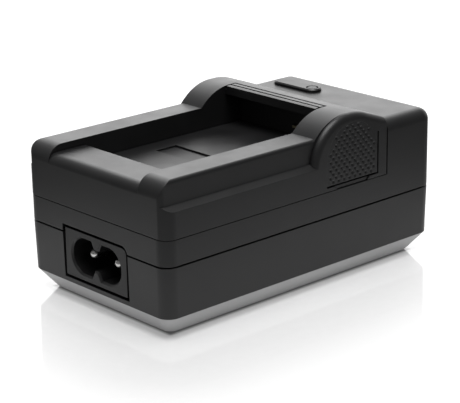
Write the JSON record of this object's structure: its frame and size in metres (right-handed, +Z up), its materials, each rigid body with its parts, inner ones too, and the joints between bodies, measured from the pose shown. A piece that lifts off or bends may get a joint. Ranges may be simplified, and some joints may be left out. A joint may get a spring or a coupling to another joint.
{
  "type": "battery charger",
  "caption": "Compact battery charger: figure-8 mains inlet, chamfered tray, clip-on plate with an open battery bay and arched bridge, squeeze grips and a status light.",
  "frame": {"origin": "middle of the underside", "axes": "+Z up, +Y from the mains inlet towards the indicator bar, +X to the right seen from the inlet end"},
  "size_m": [0.0476, 0.0824, 0.0388],
  "materials": {
    "tray": "fine silver-grey texture",
    "case": "satin black",
    "plate": "satin black",
    "inlet": "matt black",
    "pin": "nickel plated",
    "light": "clear, slightly milky",
    "screw": "zinc plated",
    "board": "green solder resist",
    "ferrite": "sintered",
    "bobbin": "moulded",
    "copper": "enamelled wire",
    "can": "sleeved can",
    "film_cap": "moulded box",
    "package": "moulded package",
    "fuse": "glass with metal caps",
    "lamp": "moulded lens",
    "contact": "gold flashed"
  },
  "bodies": {
    "root": {"bottom_tray": "tray", "lower_case": "case", "upper_case": "case", "battery_plate": "plate", "mains_inlet": "inlet", "inlet_pin_left": "pin", "inlet_pin_right": "pin", "light_pipe": "light", "case_screws": "screw", "main_board": "board", "transformer_core": "ferrite", "transformer_bobbin": "bobbin", "transformer_winding": "copper", "input_capacitor": "can", "output_capacitor": "can", "safety_capacitor": "film_cap", "rectifier_bridge": "package", "fuse": "fuse", "switching_ic": "package", "optocoupler": "package", "output_diode": "package", "charge_controller": "package", "status_led": "lamp", "plate_contact_left": "contact", "base_contact_left": "contact", "plate_contact_middle": "contact", "base_contact_middle": "contact", "plate_contact_right": "contact", "base_contact_right": "contact"}
  },
  "joints": []
}
